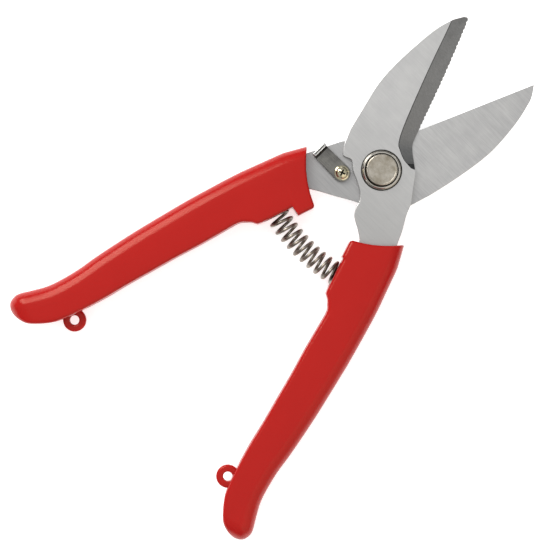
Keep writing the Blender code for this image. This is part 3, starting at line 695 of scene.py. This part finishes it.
def makePivot():
    shank, head, rim = pivotLook["shank"], pivotLook["head"], pivotLook["headRim"]
    bolt = [(0, 0), (shank - 0.4 * mm, 0), (shank, 0.4 * mm), (shank, headLow), (head - 0.1 * mm, headLow),
            (head, headLow + 0.1 * mm), *easedCorner(head, boltHigh - 0.03 * mm, rim, 1, 1),
            (head - rim - 0.1 * mm, boltHigh - 0.04 * mm), (head - rim - 0.3 * mm, boltHigh - 0.1 * mm),
            (head - rim - 0.55 * mm, boltHigh - 0.12 * mm), (2.0 * mm, boltHigh - 0.06 * mm),
            (0, boltHigh - 0.05 * mm)]
    made = toObject("pivotBolt", turned(bolt, 96), [metals["coldHeadedSteel"]])
    shadeByAngle(made, 40)
    handOver(made, "rear_lever", "pivot_bolt")

    bore, crest, outer = shank + clearance, pivotLook["crestRadius"], pivotLook["dishRadius"]
    floorHeight = dishHigh - 0.62 * mm
    dish = [(bore, dishLow), (outer - 0.1 * mm, dishLow), (outer, dishLow + 0.06 * mm), (outer - 0.04 * mm, dishLow + 0.1 * mm),
            (outer - 0.27 * mm, dishLow + 0.11 * mm), (outer - 0.3 * mm, dishLow + 0.24 * mm)]
    for step in range(7):  # the washer's rim rolls over from its outer slope to its inner wall
        angle = math.radians(40 + 140 * step / 6)
        dish.append((crest + (0.08 if step < 4 else -0.08) * mm + 0.16 * mm * math.cos(angle),
                     dishHigh - 0.16 * mm * (1 - math.sin(angle))))
    dish += [(crest - 0.34 * mm, dishHigh - 0.4 * mm), (crest - 0.36 * mm, floorHeight), (bore, floorHeight)]
    made = toObject("pivotFrontWasher", turned(dish, 96), [metals["nickelPlatedSteel"], metals["paintedShadeInHollows"]])
    for face in made.data.polygons:  # painted shade in its groove and round its foot
        reach, low = math.hypot(face.center.x, face.center.y), face.center.z < dishLow + 0.2 * mm
        if reach < crest - 0.25 * mm or low and reach > outer - 0.27 * mm:
            face.material_index = 1
    shadeByAngle(made, 40)
    handOver(made, "rear_lever", "pivot_front_washer")

    back = [(bore, backLow), *easedCorner(6.0 * mm, backLow, 0.2 * mm, 1, -1, 3)[::-1],
            *easedCorner(6.0 * mm, backHigh, 0.2 * mm, 1, 1, 3), (bore, backHigh)]
    made = toObject("pivotBackWasher", turned(back, 72), [metals["nickelPlatedSteel"]])
    shadeByAngle(made, 30)
    handOver(made, "rear_lever", "pivot_back_washer")

    corner = pivotLook["nutAcross"] / math.sqrt(3)
    hexagon = [(corner * math.cos(math.radians(60 * k)), corner * math.sin(math.radians(60 * k))) for k in range(6)]
    made = toObject("pivotNut", cutPlate(hexagon, 0, nutHigh, 0), [metals["nickelPlatedSteel"]])
    threadBore = [(0, -mm), (bore + 0.5 * mm, -mm), (bore + 0.5 * mm, 0), (bore, 0.5 * mm),
                  (bore, nutHigh - 0.5 * mm), (bore + 0.5 * mm, nutHigh), (bore + 0.5 * mm, nutHigh + mm),
                  (0, nutHigh + mm)]
    combine(made, "DIFFERENCE", toObject("thread", turned(threadBore, 48), [metals["nickelPlatedSteel"]]))
    chamfer = pivotLook["nutChamfer"]
    for face, outwards in ((0, -1), (nutHigh, 1)):
        ringCut = [(corner + mm, face + outwards * mm), (corner - 2.2 * chamfer, face + outwards * mm),
                   (corner - 2.2 * chamfer, face + outwards * 0.25 * chamfer), (corner + mm, face - outwards * chamfer * 1.6)]
        combine(made, "DIFFERENCE", toObject("rim", turned(ringCut, 72), [metals["nickelPlatedSteel"]]))
    shadeByAngle(made, 20)
    handOver(made, "rear_lever", "pivot_nut")


makePivot()
print("pivot made")


# Latch

latchLook = dict(
    heel=2.9 * mm, width=5.4 * mm, length=11.2 * mm, plate=1.2 * mm, bend=0.7 * mm,
    tabCorner=0.4 * mm, rim=0.14 * mm, hole=1.8 * mm, washerRadius=2.5 * mm,
    flange=2.5 * mm, dome=2.0 * mm, shank=1.5 * mm, recessArm=1.7 * mm, recessWidth=0.62 * mm,
    parked=math.pi,  # it points along -X while the shears are open
)
latchPlace = Vector(joints["latch_swing"]["pos_m"])
latchLow, latchHigh = (corner.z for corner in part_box("latch"))
latchWasherLow, latchWasherHigh = (corner.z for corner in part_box("latch_washer"))
screwLow, screwHigh = (corner.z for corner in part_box("latch_screw"))


def makeLatch():
    half, plate, bend, heelRound = latchLook["width"] / 2, latchLook["plate"], latchLook["bend"], latchLook["heel"]
    flatEnd = latchLook["length"] - plate - bend
    heel = [(heelRound * math.cos(math.radians(a)), heelRound * math.sin(math.radians(a))) for a in range(90, 271, 6)]
    mesh = cutPlate(heel + [(flatEnd, -half), (flatEnd, half)], latchLow, latchLow + plate, 0)
    endFace = max(mesh.faces, key=lambda face: face.calc_center_median().x)
    bmesh.ops.spin(mesh, geom=[endFace, *endFace.edges, *endFace.verts], axis=(0, -1, 0),
                   cent=(flatEnd, 0, latchLow + plate + bend), angle=math.pi / 2, steps=6)
    bmesh.ops.remove_doubles(mesh, verts=mesh.verts, dist=0.001 * mm)
    topFace = max(mesh.faces, key=lambda face: face.calc_center_median().z)
    raised = bmesh.ops.extrude_face_region(mesh, geom=[topFace])["geom"]
    verts = [item for item in raised if isinstance(item, bmesh.types.BMVert)]
    bmesh.ops.translate(mesh, verts=verts, vec=(0, 0, latchHigh - verts[0].co.z))
    if topFace.is_valid:
        bmesh.ops.delete(mesh, geom=[topFace], context="FACES_ONLY")
    corners = [edge for edge in mesh.edges if all(v.co.z > latchHigh - 1e-6 for v in edge.verts)
               and abs(edge.verts[0].co.x - edge.verts[1].co.x) > 0.5 * plate]
    bmesh.ops.bevel(mesh, geom=corners, offset=latchLook["tabCorner"], segments=5, profile=0.5,
                    affect="EDGES", material=-1)
    keen = [edge for edge in mesh.edges if edge.is_manifold and edge.calc_face_angle() > math.radians(50)]
    bmesh.ops.bevel(mesh, geom=keen, offset=latchLook["rim"], segments=2, profile=0.5, affect="EDGES",
                    material=-1, clamp_overlap=False)
    bmesh.ops.recalc_face_normals(mesh, faces=mesh.faces)
    tabTop = [face for face in mesh.faces if face.normal.z > 0.99 and face.calc_center_median().z > latchHigh - 0.05 * mm]
    bmesh.ops.inset_region(mesh, faces=tabTop, thickness=0.27 * mm, depth=0)
    bmesh.ops.translate(mesh, verts=list({v for face in tabTop for v in face.verts}), vec=(0, 0, -0.06 * mm))
    for face in mesh.faces:
        middleOf, up = face.calc_center_median(), face.normal
        inBend = flatEnd - 0.2 * mm < middleOf.x < flatEnd + bend + 0.05 * mm
        # Faces inside the bend take the painted shade
        if inBend and up.z < 0.999 and up.x < 0.2 and latchLow + plate - 0.1 * mm < middleOf.z:
            face.material_index = 1
        # The tab's top, all but its inset middle, takes the bright sheared steel colour as a painted highlight on its
        # rims
        elif face not in tabTop and middleOf.z > latchHigh - 0.2 * mm:
            face.material_index = 2
    made = toObject("latchStrap", mesh, [metals["blackenedPressedSteel"], metals["paintedBendShade"], metals["shearedEdgeAndPaintedHighlight"]])
    combine(made, "DIFFERENCE", plug(latchLook["hole"], 0, gripHigh, steps=40))
    shadeByAngle(made, 25)
    place(made, latchLook["parked"], (latchPlace.x, latchPlace.y, 0))
    handOver(made, "latch", "latch")

    hole, rim = latchLook["hole"], latchLook["washerRadius"]
    ring = [(hole, latchWasherLow), *easedCorner(rim, latchWasherLow, 0.1 * mm, 1, -1, 2)[::-1],
            *easedCorner(rim, latchWasherHigh, 0.1 * mm, 1, 1, 2), (hole, latchWasherHigh)]
    made = toObject("latchWasher", turned(ring, 48), [metals["blackenedPressedSteel"]])
    shadeByAngle(made, 30)
    place(made, 0, (latchPlace.x, latchPlace.y, 0))
    handOver(made, "rear_lever", "latch_washer")


def makeScrew():
    flange, dome, shank = latchLook["flange"], latchLook["dome"], latchLook["shank"]
    under = latchLow + latchLook["plate"] + clearance
    shoulder = under + 0.62 * mm
    profile = [(0, screwLow), (shank - 0.2 * mm, screwLow), (shank, screwLow + 0.2 * mm), (shank, under),
               (flange - 0.1 * mm, under), (flange, under + 0.1 * mm), (flange, under + 0.28 * mm),
               (flange - 0.1 * mm, under + 0.36 * mm), (dome + 0.05 * mm, under + 0.5 * mm), (dome, shoulder)]
    for step in range(1, 10):  # the head's crown
        angle = math.pi / 2 * step / 9
        profile.append((dome * math.cos(angle), shoulder + (screwHigh - shoulder) * math.sin(angle)))
    made = toObject("latchScrew", turned(profile[:-1] + [(0, screwHigh)], 56), [metals["yellowZincPlatedSteel"]])
    arm, width = latchLook["recessArm"], latchLook["recessWidth"]
    for turn in (0, math.pi / 2):
        mesh = bmesh.new()
        bmesh.ops.create_cube(mesh, size=1)
        bmesh.ops.scale(mesh, vec=(2 * arm, width, 2.2 * mm), verts=mesh.verts)
        lower = [v for v in mesh.verts if v.co.z < 0]
        bmesh.ops.scale(mesh, vec=(0.45, 0.8, 1), verts=lower)  # the driver's recess narrows as it goes down
        bmesh.ops.translate(mesh, vec=(0, 0, screwHigh), verts=mesh.verts)
        bmesh.ops.rotate(mesh, cent=(0, 0, 0), matrix=Matrix.Rotation(turn, 3, "Z"), verts=mesh.verts)
        # The cutters give the recess a near-black colour, painted shade down in the driver's recess
        combine(made, "DIFFERENCE", toObject("recess", mesh, [metals["paintedShadeInHollows"]]))
    shadeByAngle(made, 30)
    place(made, math.radians(20), (latchPlace.x, latchPlace.y, 0))
    handOver(made, "rear_lever", "latch_screw")


makeLatch()
makeScrew()
print("latch made")


# Return spring: a coil bowed along an arc that meets both pockets squarely

def makeSpring():
    halfAngle = opening / 2
    wire, coil = spring["wireRadius"], spring["coilRadius"] - spring["wireRadius"]
    seatX = tang["innerX"] - clearance / 3 - clearance - wire
    bowRadius = (seatX * math.cos(halfAngle) - spring["seatY"] * math.sin(halfAngle)) / math.sin(halfAngle)
    seatHeight = seatX * math.sin(halfAngle) + spring["seatY"] * math.cos(halfAngle)
    bowCentre = Vector((0, seatHeight + bowRadius * math.cos(halfAngle), middle))

    halfTurns = spring["openTurns"] / 2 + spring["endTurns"]
    stepsPerTurn, sides = 36, 10
    count = round(2 * halfTurns * stepsPerTurn)
    centres, outwards = [], []
    for step in range(count + 1):
        turns = halfTurns * (2 * step / count - 1)
        evenPart = min(abs(turns), spring["openTurns"] / 2)
        along = spring["pitch"] * evenPart + spring["endPitch"] * (abs(turns) - evenPart)
        bow = -math.pi / 2 + math.copysign(along, turns) / bowRadius
        ray = Vector((math.cos(bow), math.sin(bow), 0))
        turn = math.tau * (spring["startTurn"] + turns)
        outward = ray * math.cos(turn) + Vector((0, 0, math.sin(turn)))
        centres.append(bowCentre + ray * bowRadius + outward * coil)
        outwards.append(outward)
    rings = []
    for step, centre in enumerate(centres):
        heading = (centres[min(step + 1, count)] - centres[max(step - 1, 0)]).normalized()
        aside = heading.cross(outwards[step]).normalized()
        upright = aside.cross(heading)
        rings.append([centre + wire * (math.cos(math.tau * k / sides) * upright
                                       + math.sin(math.tau * k / sides) * aside) for k in range(sides)])
    made = toObject("returnSpring", sweep(rings), [metals["oilHardenedSpringWire"]], 50)
    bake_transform(made)
    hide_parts("return_spring")


makeSpring()
print("spring made")


# Floor, light and camera

stageLook = dict(
    floorColour="#FAFAFA", floorGlow=0.62,  # the sweep is lit a little from below
    wallLight=0.15, ceilingLight=0.68, backdropLight=0.95,
    lookAt=Vector((0.2 * mm, -50.0 * mm, middle)), distance=0.55, turn=math.radians(45.42),
    viewWidth=184 * mm, sensor=36,
)


def makeStage():
    mesh = bmesh.new()
    bmesh.ops.create_grid(mesh, x_segments=2, y_segments=2, size=2.5)
    bmesh.ops.translate(mesh, vec=(0, 0, -0.05 * mm), verts=mesh.verts)
    # Matt translucent acrylic sheet: even white, with a trace of cloudiness
    paper, tree, shader = newMaterial("opalAcrylicSheet", stageLook["floorColour"], 0, 0.9)
    shader.inputs["Emission Color"].default_value = hexToLinear("#FFFFFF")
    shader.inputs["Emission Strength"].default_value = stageLook["floorGlow"]
    where = addNode(tree, "ShaderNodeTexCoord", {}, {})
    fibre = addNode(tree, "ShaderNodeTexNoise", {}, {"Vector": where.outputs["Object"], "Scale": 40.0, "Detail": 3.0})
    tone = addNode(tree, "ShaderNodeMixRGB", {}, {
        "Fac": fibre.outputs["Fac"], "Color1": hexToLinear("#FBFBFB"), "Color2": hexToLinear("#F8F8F8")})
    tree.links.new(tone.outputs["Color"], shader.inputs["Base Color"])
    toObject("floor", mesh, [paper])

    world = bpy.data.worlds.new("studio")
    world.use_nodes = True
    tree = world.node_tree
    where = addNode(tree, "ShaderNodeTexCoord", {}, {})
    split = addNode(tree, "ShaderNodeSeparateXYZ", {}, {"Vector": where.outputs["Generated"]})
    room = addNode(tree, "ShaderNodeMapRange", {}, {
        "Value": split.outputs["Z"], "From Min": 0.0, "From Max": 1.0,
        "To Min": stageLook["wallLight"], "To Max": stageLook["ceilingLight"]})
    seen = addNode(tree, "ShaderNodeLightPath", {}, {})
    level = addNode(tree, "ShaderNodeMapRange", {}, {
        "Value": seen.outputs["Is Camera Ray"], "To Min": room.outputs["Result"],
        "To Max": stageLook["backdropLight"]})
    tree.links.new(level.outputs["Result"], tree.nodes["Background"].inputs["Strength"])
    tree.nodes["Background"].inputs["Color"].default_value = hexToLinear("#FFFFFF")
    bpy.context.scene.world = world
    bpy.context.scene.view_settings.view_transform = "Standard"


def softBox(name, place, size, power, colour):
    data = bpy.data.lights.new(name, "AREA")
    data.shape = "RECTANGLE"
    data.size, data.size_y = size
    data.energy = power
    data.color = hexToLinear(colour)[:3]
    made = bpy.data.objects.new(name, data)
    made.location = place
    aim = Vector((0, -40 * mm, 0)) - Vector(place)
    made.rotation_euler = aim.to_track_quat("-Z", "Y").to_euler()
    bpy.context.scene.collection.objects.link(made)


def makeCamera():
    data = bpy.data.cameras.new("camera")
    data.sensor_fit = "HORIZONTAL"
    data.sensor_width = stageLook["sensor"]
    data.lens = stageLook["sensor"] * stageLook["distance"] / stageLook["viewWidth"]
    data.clip_start = 0.01
    made = bpy.data.objects.new("camera", data)
    made.location = stageLook["lookAt"] + Vector((0, 0, stageLook["distance"]))
    made.rotation_euler = (0, 0, stageLook["turn"])
    bpy.context.scene.collection.objects.link(made)
    bpy.context.scene.camera = made


makeStage()
softBox("keyLight", (-0.62, -0.02, 0.55), (0.36, 0.7), 5.4, "#FFFDFA")
softBox("topLight", (0.0, -0.04, 1.3), (0.9, 0.9), 0.45, "#FFFFFF")
softBox("warmFill", (0.6, -0.1, 0.4), (0.7, 1.0), 1.4, "#FFEFDC")
makeCamera()
print("stage, lights and camera made")
